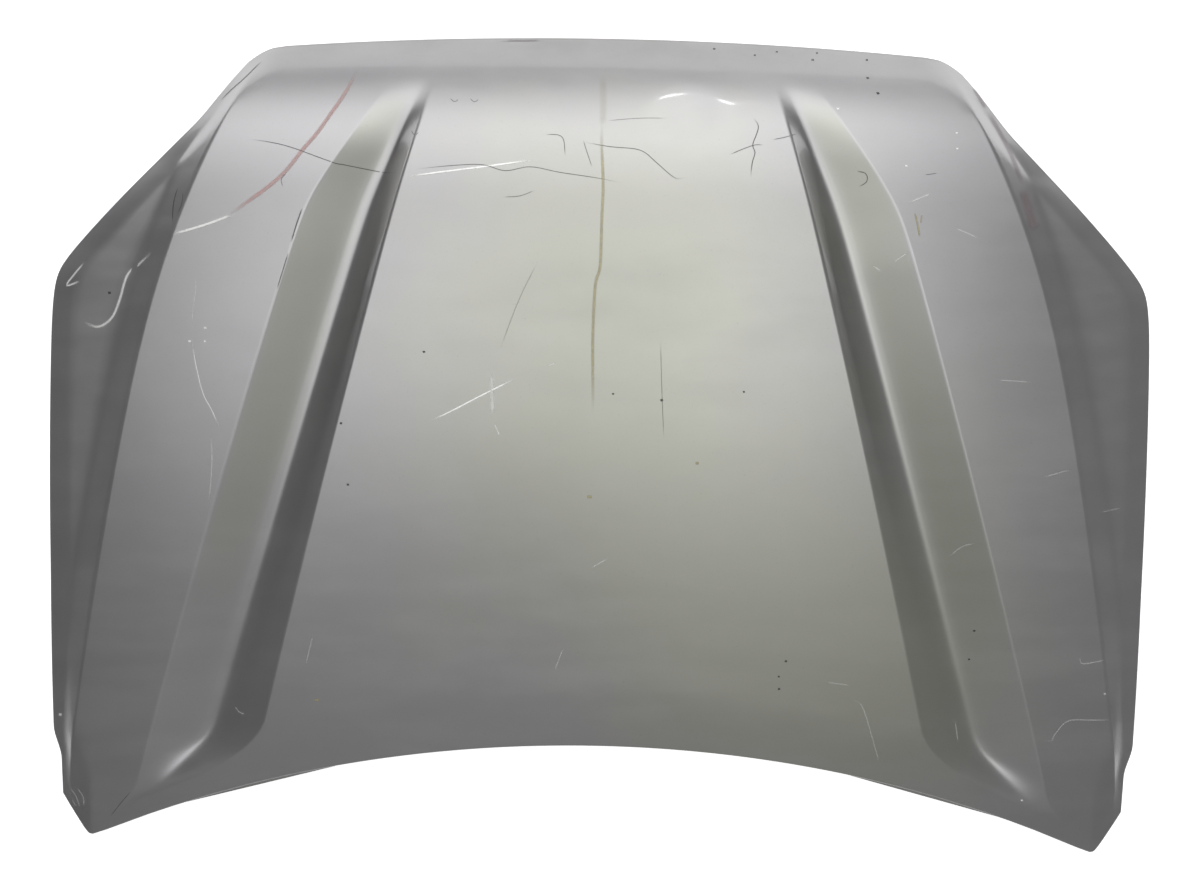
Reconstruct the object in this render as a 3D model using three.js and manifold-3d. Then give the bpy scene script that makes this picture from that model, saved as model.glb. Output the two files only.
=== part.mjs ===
// A car bonnet: a pressed outer skin hemmed round an inner frame, with the latch striker, the hinge
// plates, the bump stops, the prop rod bush and the mastic dabs. Millimetres, +Z up, nose towards +Y.
// It lies as it rests when it is taken off the car: dome up, on the nose corners and the rear tips.
import * as THREE from "three";
import { mergeVertices } from "three/addons/utils/BufferGeometryUtils.js";
import Module from "manifold-3d";

const wasm = await Module();
wasm.setup();

// Sheets and clearances
const SKIN_SHEET = 0.8;
const FRAME_SHEET = 0.7;
const SEAT_GAP = 0.3; // between pieces that touch on the real bonnet
const HEM_CLEARANCE = 1; // above and below the frame's rim inside the hem
const HEM_WIDTH = 9; // how far the folded rim returns inwards
const FOLD_BULGE = 1.2; // how far the fold stands outside the pressed face
const HEM_DEPTH = 2 * SKIN_SHEET + FRAME_SHEET + 2 * HEM_CLEARANCE;

// Outline, from a datum line across the middle of the panel
const HALF_WIDTH = 748.8;
const NOSE_REACH = 567; // datum line to the middle of the nose edge
const NOSE_RADIUS = 6000;
const NOSE_CORNER = 455; // where the nose edge starts to round off towards the lamp
const NOSE_CORNER_RADIUS = 40;
const NOSE_CORNER_END = 490; // where the lamp edge takes over
const REAR_REACH = 402; // datum line to the middle of the windscreen edge
const REAR_RADIUS = 1667;
const TIP_X = 736; // outer end of the slanted rear tip
const TIP_Y = -499;
const TIP_SLANT = 1.63; // rise for each millimetre outwards
const TIP_ROUNDING = 9;
const LAMP_START = 228; // where the side edge turns in along the lamp
const LAMP_SLANT = 0.94; // inward for each millimetre forward
const LAMP_ROUNDING = 22;
const LAMP_BEND = 435; // beyond it the lamp edge runs more forward
const LAMP_BEND_SLANT = 0.3;
const LAMP_BEND_ROUNDING = 12;
const SIDE_JOG = 11; // the side edge steps in near the hinge
const SIDE_JOG_START = -400;
const SIDE_JOG_END = -446;

// Crown of the pressed face
const CROWN_HEIGHT = 159;
const CROWN_PEAK = 195; // the highest row of the middle line
const CROWN_LENGTH_RADIUS = 2941;
const CROWN_WIDTH_RADIUS = 4200;
const NOSE_DROP = 121;
const NOSE_DROP_START = 230;
const NOSE_DROP_POWER = 2.5;

// The two valleys beside the raised centre: inner line, bottom line and outer crease
const INNER_LINE_HALF = 353.5; // half width of the raised centre on the datum line
const INNER_LINE_SPLAY = 0.246;
const INNER_LINE_TURN = -375; // behind it the line sweeps out to the rear corner
const OUTER_LINE_HALF = 488.9;
const OUTER_LINE_SPLAY = 0.2917;
const OUTER_LINE_TURN = -467;
const OUTER_LINE_BEND = 325; // ahead of it the crease runs in towards the nose
const OUTER_LINE_BEND_SLANT = 0.33;
const OUTER_LINE_ROUNDING = 30;
const SWEEP_RADIUS = 50;
const VALLEY_LEAST_WIDTH = 18;
const LINE_ROUNDING = 6; // where one line gives way to another
const VALLEY_BOTTOM = 0.38; // share of the way from the inner line to the outer crease
const VALLEY_BOTTOM_DRIFT = 0.00023; // less of that share for each millimetre forward
const CREASE_DROP = 1; // how far the outer crease lies under the crown
const FACE_SLOPE = 0.38; // fall of the plane face from the outer crease to the bottom
const VALLEY_FILLET = 3;
const VALLEY_TIP = 502;
const VALLEY_FULL = 375;
const VALLEY_FADE_START = -380;
const VALLEY_FADE_END = -520;
const VALLEY_FADE_SHARE = 0.3;
const VALLEY_END = 13; // the valley rises to nothing between these distances from the windscreen edge
const VALLEY_END_START = 76;

// The shoulder step and the flank outside it
const SHOULDER_HALF = 648.6;
const SHOULDER_SPLAY = 0.175;
const SHOULDER_BEND = 200;
const SHOULDER_BEND_SLANT = 0.22;
const SHOULDER_ROUNDING = 150;
const FLANK_LEAST_WIDTH = 10;
const STEP_WIDTH = 20;
const STEP_SLOPE = 0.85;
const STEP_FOOT = 0.9; // share of the step's width at which its wall meets the flank
const STEP_FILLET = 1.5;
const STEP_FADE_END = -520;
const STEP_FADE_START = -430;
const STEP_NOSE_FADE = 60;
const FLANK_SLOPE = 0.06;
const ROLL_WIDTH = 30; // the rim rolls down along the lamp and the side
const ROLL_DROP = 9;
const ROLL_POWER = 1.25;
const STRIP_POWER = 1.4;
const SIDE_ROLL_SHARE = 0.45; // the roll along the side, as a share of that along the lamp
const LAMP_ROLL_START = 150;
const LAMP_ROLL_FULL = 260;
const REAR_STRIP = 79; // the strip along the windscreen edge tips down
const REAR_STRIP_DROP = 4;

// A shallow dent behind the nose edge
const DENT_X = 112;
const DENT_Y = 440;
const DENT_RADIUS = 62;
const DENT_DEPTH = 2.5;

// Inner frame
const FRAME_INSET = 2; // rim of the frame to the fold of the hem
const RIM_FLANGE = 17;
const RIM_MIDDLE = 9;
const RAMP = 25;
const RING_FLOOR = 40; // width of the floor of the ring channel
const CHANNEL_DEPTH = 28;
const CHANNEL_SHARE = 0.6; // where the dome is low the channel takes this share of its height
const LAND_GAP = 4; // skin to land, bridged by mastic
const LAND_REACH = 14; // a land keeps its gap to the lowest skin within this reach
const CENTRE_CHANNEL = 40;
const CROSS_CHANNEL = 60;
const CROSS_CHANNEL_Y = 60;
const VALLEY_CHANNEL_MARGIN = 20;
const HOLE_ROUNDING = 24;
const RING_INSIDE = RIM_FLANGE + RAMP + RING_FLOOR;

// Lightening holes of the right half: middle, width along X, length along Y
const NOSE_HOLE = { x: 133, y: 347, wide: 110, long: 92 };
const FRONT_HOLE = { x: 142, y: 208, wide: 128, long: 124 };
const MIDDLE_HOLE = { x: 142, y: -76, wide: 128, long: 124 };
const REAR_HOLE = { x: 142, y: -222, wide: 128, long: 108 };
// Those outside the valleys are placed from the widest place of the outline.
const WING_HOLE_FRONT = { inset: 220.8, y: 236, wide: 84, long: 116 };
const WING_HOLE_MIDDLE = { inset: 174.8, y: 96, wide: 84, long: 116 };
const WING_HOLE_REAR = { inset: 148.8, y: -42, wide: 52, long: 116 };
const CENTRE_HOLES = [NOSE_HOLE, FRONT_HOLE, MIDDLE_HOLE, REAR_HOLE];
const WING_HOLES = [WING_HOLE_FRONT, WING_HOLE_MIDDLE, WING_HOLE_REAR];
const HOLES = [
  ...CENTRE_HOLES,
  ...WING_HOLES.map((hole) => ({ ...hole, x: HALF_WIDTH - hole.inset })),
];

// Latch striker, on a level seat behind the nose edge
const STRIKER_SETBACK = 89; // behind the middle of the nose edge
const STRIKER_Y = NOSE_REACH - STRIKER_SETBACK;
const STRIKER_SEAT_DEPTH = 21.96; // under the lowest skin above the piece, as for the other seats
const STRIKER_PLATE = { wide: 120, long: 44, thick: 3 };
const STRIKER_REINFORCEMENT = { wide: 150, long: 54, thick: 1.5 };
const STRIKER_WIRE = 8;
const STRIKER_LOOP_WIDTH = 46;
const STRIKER_LOOP_DROP = 34;
const STRIKER_LOOP_BEND = 13;
const STRIKER_BOLT_PITCH = 88;

// Hinge plates, on seats that follow the channel floor
const HINGE_INSET = 138.8; // inwards of the widest place of the outline
const HINGE_X = HALF_WIDTH - HINGE_INSET;
const HINGE_Y = -427;
const HINGE_PLATE = { wide: 108, long: 38, thick: 2.5 };
const HINGE_BOLT_PITCH = 66;
const HINGE_SEAT_DEPTH = 7.3;

// Fasteners
const BOLT = 6;
const BOLT_HOLE = 7.6;
const BOLT_HEAD_ACROSS = 10;
const BOLT_HEAD_HEIGHT = 4;
const BOLT_FLANGE = 14;
const BOLT_FLANGE_THICK = 1.5;
const BOLT_END = 2; // how far a bolt shows past its nut
const NUT_ACROSS = 13;
const NUT_HEIGHT = 5;
const THREAD_CLEARANCE = 0.3;

// Rubber bump stops, on level seats near the front corners
const BUMP_X = 412;
const BUMP_SETBACK = 93;
const BUMP_Y = NOSE_REACH - BUMP_SETBACK;
const BUMP_SEAT_DEPTH = 25.89;
const BUMP_BASE = 28;
const BUMP_BASE_THICK = 4;
const BUMP_TIP = 17;
const BUMP_HEIGHT = 17;
const BUMP_STEM = 8;
const BUMP_BULB = 12;
const BUMP_BULB_HEIGHT = 6;
const BUMP_HOLE = 9.2;

// Plastic bush that holds the upper end of the prop rod
const BUSH_INSET = 252.8; // inwards of the widest place of the outline
const BUSH_X = BUSH_INSET - HALF_WIDTH;
const BUSH_SETBACK = 174;
const BUSH_Y = NOSE_REACH - BUSH_SETBACK;
const BUSH_SEAT_DEPTH = 27.25;
const BUSH_FLANGE = 25;
const BUSH_FLANGE_THICK = 2;
const BUSH_BODY = 17;
const BUSH_BORE = 11;
const BUSH_HEIGHT = 8;
const BUSH_CLEARANCE = 0.4;

// Dabs of mastic of the right half, on the lands
const MASTIC_ACROSS = 22;
const MASTIC_CLEARANCE = 0.8;
const MASTIC_WING_FRONT = { inset: 278.8, y: 262 };
const MASTIC_WING_MIDDLE = { inset: 231.8, y: 105 };
const MASTIC_WING_REAR = { inset: 188.8, y: -42 };
const MASTIC_WINGS = [MASTIC_WING_FRONT, MASTIC_WING_MIDDLE, MASTIC_WING_REAR];
const MASTIC_PLACES = [
  [142, 285],
  [230, 208],
  [262, -76],
  [142, -153],
  ...MASTIC_WINGS.map(({ inset, y }) => [HALF_WIDTH - inset, y]),
];

const { lerp, smoothstep, clamp } = THREE.MathUtils;

// Slope of f at t, measured over one millimetre.
const slopeOf = (f, t) => f(t + 0.5) - f(t - 0.5);
// A ramp of slope one that starts at zero, rounded over the given width.
const softRamp = (d, rounding) => (Math.hypot(d, rounding) + d) / 2;
const softLeast = (a, b, rounding) => a - softRamp(a - b, rounding);
const softMost = (a, b, rounding) => a + softRamp(b - a, rounding);
const arcSag = (radius, x) => radius - Math.sqrt(radius * radius - x * x);

// Edges of the outline, for the right half.
function noseEdge(x) {
  const past = Math.max(0, x - NOSE_CORNER);
  return NOSE_REACH - arcSag(NOSE_RADIUS, x) - (past * past) / (2 * NOSE_CORNER_RADIUS);
}
function rearEdge(x) {
  const arc = -REAR_REACH - arcSag(REAR_RADIUS, x);
  const slant = TIP_Y - (TIP_X - x) * TIP_SLANT;
  return softMost(arc, slant, TIP_ROUNDING);
}
function sideEdge(y) {
  const lamp = LAMP_SLANT * softRamp(y - LAMP_START, LAMP_ROUNDING);
  const bend = LAMP_BEND_SLANT * softRamp(y - LAMP_BEND, LAMP_BEND_ROUNDING);
  return HALF_WIDTH - lamp + bend - SIDE_JOG * smoothstep(-y, -SIDE_JOG_START, -SIDE_JOG_END);
}

// Lines that run from the nose to the rear, for the right half.
const sweep = (y, turn) => Math.max(0, turn - y) ** 2 / (2 * SWEEP_RADIUS);
const outerStraight = (y) => OUTER_LINE_HALF - OUTER_LINE_SPLAY * y;
const innerStraight = (y) => INNER_LINE_HALF - INNER_LINE_SPLAY * y;
function outerCrease(y) {
  const bend = OUTER_LINE_BEND_SLANT * softRamp(y - OUTER_LINE_BEND, OUTER_LINE_ROUNDING);
  return outerStraight(y) - bend + sweep(y, OUTER_LINE_TURN);
}
function innerLine(y) {
  const free = innerStraight(y) + sweep(y, INNER_LINE_TURN);
  return softLeast(free, outerCrease(y) - VALLEY_LEAST_WIDTH, LINE_ROUNDING);
}
const valleyBottom = (y) =>
  lerp(innerLine(y), outerCrease(y), VALLEY_BOTTOM - VALLEY_BOTTOM_DRIFT * y);
function shoulder(y) {
  const bend = SHOULDER_BEND_SLANT * softRamp(y - SHOULDER_BEND, SHOULDER_ROUNDING);
  const free = SHOULDER_HALF - SHOULDER_SPLAY * y - bend;
  return softLeast(free, sideEdge(y) - FLANK_LEAST_WIDTH, LINE_ROUNDING);
}
const stepFoot = (y) => Math.min(shoulder(y) + STEP_WIDTH, (shoulder(y) + sideEdge(y)) / 2);

// Distance in plan to the nearest edge: the side, the nose or the rear.
function edgeDistances(x, y) {
  const side = (sideEdge(y) - x) / Math.hypot(1, slopeOf(sideEdge, y));
  const noseX = Math.min(x, NOSE_CORNER_END);
  const nose = (noseEdge(noseX) - y) / Math.hypot(1, slopeOf(noseEdge, noseX));
  const rear = (y - rearEdge(x)) / Math.hypot(1, slopeOf(rearEdge, x));
  return { side, nose, rear };
}
function edgeDistance(x, y) {
  const { side, nose, rear } = edgeDistances(Math.abs(x), y);
  return Math.min(side, nose, rear);
}

// How far the valley lies under the crown: a plane wall falls from the inner line, a plane face rises
// to the outer crease, and a fillet joins them.
function valleyDrop(x, y) {
  const inner = innerLine(y);
  const width = outerCrease(y) - inner;
  const out = clamp(x - inner, 0, width);
  if (out <= 0) return 0;
  const bottom = valleyBottom(y) - inner;
  const faceTop = CREASE_DROP + FACE_SLOPE * width;
  const wallSlope = (faceTop - FACE_SLOPE * bottom) / bottom;
  const start = softLeast(0, faceTop, VALLEY_FILLET) * (1 - out / width);
  const depth = softLeast(wallSlope * out, faceTop - FACE_SLOPE * out, VALLEY_FILLET) - start;
  const front = 1 - smoothstep(y, VALLEY_FULL, VALLEY_TIP);
  const rear = 1 - VALLEY_FADE_SHARE * smoothstep(-y, -VALLEY_FADE_START, -VALLEY_FADE_END);
  return depth * front * rear * smoothstep(edgeDistances(x, y).rear, VALLEY_END, VALLEY_END_START);
}

// How far the shoulder step, the flank and the rolled rim lie under the crown.
function flankDrop(x, y) {
  const out = Math.max(0, x - shoulder(y));
  const foot = STEP_SLOPE * STEP_FOOT * (stepFoot(y) - shoulder(y));
  const start = softLeast(0, foot, STEP_FILLET);
  const depth = softLeast(STEP_SLOPE * out, foot + FLANK_SLOPE * out, STEP_FILLET) - start;
  const front = smoothstep(edgeDistances(x, y).nose, 0, STEP_NOSE_FADE);
  return Math.max(0, depth) * front * smoothstep(y, STEP_FADE_END, STEP_FADE_START);
}
function rimDrop(x, y) {
  const { side, rear } = edgeDistances(x, y);
  const lamp = lerp(SIDE_ROLL_SHARE, 1, smoothstep(y, LAMP_ROLL_START, LAMP_ROLL_FULL));
  const roll = ROLL_DROP * lamp * clamp(1 - side / ROLL_WIDTH, 0, 1) ** ROLL_POWER;
  const strip = REAR_STRIP_DROP * clamp(1 - rear / REAR_STRIP, 0, 1) ** STRIP_POWER;
  return roll + strip;
}
function dentDrop(x, y) {
  const away = Math.hypot(x - DENT_X, y - DENT_Y) / DENT_RADIUS;
  return DENT_DEPTH * (1 - smoothstep(away, 0, 1));
}

// Height of the crown alone, without valleys, and of the whole pressed outer face.
function crownHeight(x, y) {
  const far = Math.abs(x);
  const ahead = Math.max(0, y - NOSE_DROP_START) / (NOSE_REACH - NOSE_DROP_START);
  const crown = CROWN_HEIGHT - (y - CROWN_PEAK) ** 2 / (2 * CROWN_LENGTH_RADIUS);
  const across = (far * far) / (2 * CROWN_WIDTH_RADIUS);
  return crown - across - NOSE_DROP * ahead ** NOSE_DROP_POWER - flankDrop(far, y) - rimDrop(far, y);
}
const outerHeight = (x, y) => crownHeight(x, y) - valleyDrop(Math.abs(x), y) - dentDrop(x, y);

// Thickness seen along Z of a sheet that follows the surface f.
function steepness(f, x, y) {
  return Math.hypot(1, slopeOf((t) => f(t, y), x), slopeOf((t) => f(x, t), y));
}

// A plan grid: columns are lines from the nose to the rear, mirrored about the middle line. Each
// band gives the line that it starts from and how many columns lie between that and the next line.
function planGrid(bands, rows) {
  const half = [];
  bands.forEach(({ from, steps }, band) => {
    const to = bands[band + 1]?.from ?? from;
    for (let k = 0; k < Math.max(1, steps); k++) half.push({ from, to, share: steps && k / steps });
  });
  const columnX = (column, y) => lerp(column.from(y), column.to(y), column.share);
  // The end of a column is where its line meets the nose or the rear edge, found by repeated trial.
  const trials = 60;
  function endOf(column, edge, start) {
    let y = start;
    for (let k = 0; k < trials; k++) y = lerp(y, edge(columnX(column, y)), 0.5);
    return y;
  }
  const ends = half.map((column) => ({
    front: endOf(column, noseEdge, NOSE_REACH),
    rear: endOf(column, rearEdge, -REAR_REACH),
  }));
  return rows.map((place) => {
    const right = half.map((column, c) => {
      const y = place(ends[c].front, ends[c].rear);
      return [columnX(column, y), y];
    });
    const left = right.slice(1).reverse().map(([x, y]) => [-x, y]);
    return [...left, ...right];
  });
}

// Border of the grid as row and column numbers, counter-clockwise seen from above.
function borderOf(rows, columns) {
  const border = [];
  for (let i = 0; i < rows - 1; i++) border.push([i, 0]);
  for (let j = 0; j < columns - 1; j++) border.push([rows - 1, j]);
  for (let i = rows - 1; i > 0; i--) border.push([i, columns - 1]);
  for (let j = columns - 1; j > 0; j--) border.push([0, j]);
  return border;
}

// A closed sheet: a top face, a bottom face and rings of rim points that join their borders.
function sheetGeometry(grid, topHeight, bottomHeight, rimRings) {
  const rows = grid.length;
  const columns = grid[0].length;
  const positions = [];
  for (const height of [topHeight, bottomHeight]) {
    for (const row of grid) {
      for (const [x, y] of row) positions.push(x, y, height(x, y));
    }
  }
  const index = [];
  const top = (i, j) => i * columns + j;
  const bottom = (i, j) => rows * columns + top(i, j);
  for (let i = 0; i < rows - 1; i++) {
    for (let j = 0; j < columns - 1; j++) {
      index.push(top(i, j), top(i + 1, j), top(i + 1, j + 1));
      index.push(top(i, j), top(i + 1, j + 1), top(i, j + 1));
      index.push(bottom(i, j), bottom(i + 1, j + 1), bottom(i + 1, j));
      index.push(bottom(i, j), bottom(i, j + 1), bottom(i + 1, j + 1));
    }
  }
  const border = borderOf(rows, columns);
  const rings = [border.map(([i, j]) => top(i, j))];
  for (const ringPoint of rimRings) {
    rings.push(
      border.map(([i, j], k) => {
        const [before, after] = [-1, 1].map((s) => {
          const [bi, bj] = border[(k + s + border.length) % border.length];
          return grid[bi][bj];
        });
        const along = new THREE.Vector2(after[0] - before[0], after[1] - before[1]).normalize();
        const [x, y] = grid[i][j];
        positions.push(...ringPoint(x, y, along.y, -along.x));
        return positions.length / 3 - 1;
      }),
    );
  }
  rings.push(border.map(([i, j]) => bottom(i, j)));
  for (let r = 0; r < rings.length - 1; r++) {
    for (let k = 0; k < border.length; k++) {
      const next = (k + 1) % border.length;
      index.push(rings[r][k], rings[r + 1][k], rings[r + 1][next]);
      index.push(rings[r][k], rings[r + 1][next], rings[r][next]);
    }
  }
  const geometry = new THREE.BufferGeometry();
  geometry.setAttribute("position", new THREE.Float32BufferAttribute(positions, 3));
  geometry.setIndex(index);
  return geometry;
}

// The plan grid that both sheets share, so that they follow each other at the rim. The frame's own
// grid starts further in from the edge. Rows are set by their distance from the edge, in steps
// between them and along the cross channel.
const PAST_RING = 135;
const EXTRA_NOSE_ROWS = [29, 62, 170]; // where the nose bends most
const FRONT_STEPS = 5;
const REAR_STEPS = 4;
function panelGrid(inset) {
  const rib = [CENTRE_CHANNEL / 2, CENTRE_CHANNEL / 2 + RAMP];
  const margin = VALLEY_CHANNEL_MARGIN;
  const rimLine = (distance) => (y) => sideEdge(y) - distance * Math.hypot(1, slopeOf(sideEdge, y));
  // Where the flank is narrow the lines along the rim share what room there is.
  const rim = (distance, share) => (y) =>
    Math.max(rimLine(distance)(y), lerp(stepFoot(y), rimLine(inset)(y), share));
  const outside = (distance, share) => (y) =>
    Math.min(outerCrease(y) + distance, lerp(outerCrease(y), shoulder(y), share));
  const bands = [
    { from: () => 0, steps: 1 },
    { from: () => rib[0], steps: 1 },
    { from: () => rib[1], steps: 3 },
    { from: (y) => innerLine(y) - margin - RAMP, steps: 1 },
    { from: (y) => innerLine(y) - margin, steps: 1 },
    { from: innerLine, steps: 2 },
    { from: valleyBottom, steps: 2 },
    { from: outerCrease, steps: 1 },
    { from: outside(margin, 0.25), steps: 1 },
    { from: outside(margin + RAMP, 0.5), steps: 3 },
    { from: shoulder, steps: 2 },
    { from: stepFoot, steps: 1 },
    { from: rim(ROLL_WIDTH, 0.4), steps: 1 },
    { from: rim(RIM_FLANGE, 0.6), steps: 1 },
    { from: rim(RIM_MIDDLE, 0.8), steps: 1 },
    { from: rimLine(inset), steps: 0 },
  ];
  const ring = [RIM_MIDDLE, RIM_FLANGE, RIM_FLANGE + RAMP, RING_INSIDE, RING_INSIDE + RAMP];
  ring.push(PAST_RING);
  const nose = [inset, ...ring, ...EXTRA_NOSE_ROWS].sort((a, b) => a - b);
  const rear = [...ring].reverse().concat(inset);
  const crossing = [CROSS_CHANNEL / 2 + RAMP, CROSS_CHANNEL / 2].map((d) => CROSS_CHANNEL_Y + d);
  crossing.push(CROSS_CHANNEL_Y - CROSS_CHANNEL / 2, CROSS_CHANNEL_Y - CROSS_CHANNEL / 2 - RAMP);
  const rows = nose.map((distance) => (front) => front - distance);
  for (let k = 1; k < FRONT_STEPS; k++) {
    rows.push((front) => lerp(front - nose.at(-1), crossing[0], k / FRONT_STEPS));
  }
  rows.push(...crossing.map((y) => () => y));
  for (let k = 1; k < REAR_STEPS; k++) {
    rows.push((front, back) => lerp(crossing.at(-1), back + rear[0], k / REAR_STEPS));
  }
  rows.push(...rear.map((distance) => (front, back) => back + distance));
  return planGrid(bands, rows);
}

function outerSkin() {
  const grid = panelGrid(0);
  const under = (x, y, depth) => outerHeight(x, y) - depth * steepness(outerHeight, x, y);
  // Each rim ring: how far it stands out from the edge of the face and how far under the face.
  const section = [
    [FOLD_BULGE, HEM_DEPTH * 0.3],
    [FOLD_BULGE, HEM_DEPTH * 0.7],
    [0, HEM_DEPTH],
    [-HEM_WIDTH, HEM_DEPTH],
    [-HEM_WIDTH, HEM_DEPTH - SKIN_SHEET],
    [0, HEM_DEPTH - SKIN_SHEET],
  ];
  const rings = section.map(([out, depth]) => (x, y, outX, outY) => {
    const inwards = Math.min(0, out);
    const height = under(x + inwards * outX, y + inwards * outY, depth);
    return [x + out * outX, y + out * outY, height];
  });
  return sheetGeometry(grid, outerHeight, (x, y) => under(x, y, SKIN_SHEET), rings);
}

// Flat seats pressed into the floor of the channels. Level ones have a set height.
function frameFloorFree(x, y) {
  const crown = crownHeight(x, y);
  return crown - softLeast(CHANNEL_DEPTH, CHANNEL_SHARE * crown, 3);
}
// The lowest skin over a place, measured from the seat's own plane.
function lowestSkin(x, y, reachX, reachY, slopeX, slopeY) {
  let lowest = Infinity;
  for (const alongX of [-1, -0.5, 0, 0.5, 1]) {
    for (const alongY of [-1, 0, 1]) {
      const stepX = alongX * reachX;
      const stepY = alongY * reachY;
      const rise = slopeX * stepX + slopeY * stepY;
      lowest = Math.min(lowest, outerHeight(x + stepX, y + stepY) - rise);
    }
  }
  return lowest;
}
function levelSeat(x, y, reachX, reachY, depth) {
  const height = lowestSkin(x, y, reachX, reachY, 0, 0) - depth;
  return { x, y, reachX, reachY, height, slopeX: 0, slopeY: 0 };
}
function tangentSeat(x, y, reachX, reachY, depth) {
  const slopeX = slopeOf((t) => frameFloorFree(t, y), x);
  const slopeY = slopeOf((t) => frameFloorFree(x, t), y);
  const height = lowestSkin(x, y, reachX, reachY, slopeX, slopeY) - depth;
  return { x, y, reachX, reachY, height, slopeX, slopeY };
}
const SEAT_MARGIN = 26; // a seat stays flat this far past the piece on it
const SEAT_BLEND = 30;
// Each seat: its middle, half its width, half its length and its depth under the skin.
const strikerSeat = levelSeat(0, STRIKER_Y, 98, 28, STRIKER_SEAT_DEPTH);
const bumpSeats = [-1, 1].map((s) => levelSeat(s * BUMP_X, BUMP_Y, 30, 24, BUMP_SEAT_DEPTH));
const bushSeat = levelSeat(BUSH_X, BUSH_Y, 18, 18, BUSH_SEAT_DEPTH);
const hingeSeats = [-1, 1].map((s) => tangentSeat(s * HINGE_X, HINGE_Y, 100, 26, HINGE_SEAT_DEPTH));
const seats = [strikerSeat, ...bumpSeats, bushSeat, ...hingeSeats];

function withSeats(x, y, free) {
  let height = free;
  for (const seat of seats) {
    const outX = Math.abs(x - seat.x) - seat.reachX - SEAT_MARGIN;
    const outY = Math.abs(y - seat.y) - seat.reachY - SEAT_MARGIN;
    const away = Math.hypot(Math.max(0, outX), Math.max(0, outY));
    const flat = seat.height + seat.slopeX * (x - seat.x) + seat.slopeY * (y - seat.y);
    height = lerp(flat, height, smoothstep(away, 0, SEAT_BLEND));
  }
  return height;
}

// Share of the way from the land under the skin to the channel floor.
function channelShare(x, y) {
  const far = Math.abs(x);
  const edge = edgeDistance(x, y);
  const ring = edge - RING_INSIDE;
  const valley = Math.max(
    innerLine(y) - VALLEY_CHANNEL_MARGIN - far,
    far - outerCrease(y) - VALLEY_CHANNEL_MARGIN,
  );
  const centre = far - CENTRE_CHANNEL / 2;
  const cross = Math.max(Math.abs(y - CROSS_CHANNEL_Y) - CROSS_CHANNEL / 2, far - innerLine(y));
  const nearest = Math.min(ring, valley, centre, cross);
  return (1 - smoothstep(nearest, 0, RAMP)) * smoothstep(edge, RIM_FLANGE, RIM_FLANGE + RAMP);
}

function frameHeight(x, y) {
  const edge = edgeDistance(x, y);
  const inside = smoothstep(edge, RIM_FLANGE, RIM_FLANGE + RAMP);
  const gap = lerp(HEM_CLEARANCE, LAND_GAP, inside);
  const near = LAND_REACH * inside;
  const lowest = Math.min(...[-near, 0, near].map((step) => outerHeight(x + step, y)));
  const land = lowest - (SKIN_SHEET + gap) * steepness(outerHeight, x, y);
  const pressed = lerp(land, Math.min(land, frameFloorFree(x, y)), channelShare(x, y));
  return lerp(pressed, Math.min(land, withSeats(x, y, pressed)), inside);
}

// Shapes in plan: a rounded rectangle, a circle and a hexagon.
function roundedPlate(wide, long, rounding) {
  const w = wide / 2;
  const l = long / 2;
  const shape = new THREE.Shape();
  shape.moveTo(-w + rounding, -l);
  shape.lineTo(w - rounding, -l);
  shape.absarc(w - rounding, -l + rounding, rounding, -Math.PI / 2, 0);
  shape.absarc(w - rounding, l - rounding, rounding, 0, Math.PI / 2);
  shape.absarc(-w + rounding, l - rounding, rounding, Math.PI / 2, Math.PI);
  shape.absarc(-w + rounding, -l + rounding, rounding, Math.PI, 1.5 * Math.PI);
  return shape;
}
function polygonPoints(x, y, radius, corners) {
  return Array.from({ length: corners }, (_, k) => {
    const angle = (k / corners) * 2 * Math.PI;
    return new THREE.Vector2(x + radius * Math.cos(angle), y + radius * Math.sin(angle));
  });
}
const disc = (across, corners = 12) => new THREE.Shape(polygonPoints(0, 0, across / 2, corners));
const hexagon = (acrossFlats) => new THREE.Shape(polygonPoints(0, 0, acrossFlats / Math.sqrt(3), 6));
function withHoles(shape, centres, across) {
  for (const x of centres) shape.holes.push(new THREE.Path(polygonPoints(x, 0, across / 2, 12)));
  return shape;
}
function prism(shape, from, to, curveSegments = 3) {
  const options = { depth: to - from, bevelEnabled: false, curveSegments };
  return new THREE.ExtrudeGeometry(shape, options).translate(0, 0, from);
}
// A turned body about Z from a closed outline of radius and height.
function turned(outline, segments) {
  const points = outline.map(([radius, height]) => new THREE.Vector2(radius, height));
  return new THREE.LatheGeometry([...points, points[0]], segments).rotateX(Math.PI / 2);
}

function solidOf(geometry) {
  const plain = new THREE.BufferGeometry();
  const loose = geometry.index ? geometry.toNonIndexed() : geometry;
  plain.setAttribute("position", loose.getAttribute("position"));
  const merged = mergeVertices(plain, 1e-4);
  return new wasm.Manifold(
    new wasm.Mesh({
      numProp: 3,
      vertProperties: merged.attributes.position.array,
      triVerts: new Uint32Array(merged.index.array),
    }),
  );
}
function geometryOf(solid) {
  const mesh = solid.getMesh();
  const geometry = new THREE.BufferGeometry();
  geometry.setAttribute("position", new THREE.BufferAttribute(mesh.vertProperties, 3));
  geometry.setIndex(new THREE.BufferAttribute(mesh.triVerts, 1));
  return geometry;
}

// A cutter passes through the whole panel.
const CUT_BOTTOM = -20;
const CUT_TOP = 240;
const cutter = (shape, x, y) => prism(shape, CUT_BOTTOM, CUT_TOP).translate(x, y, 0);

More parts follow.
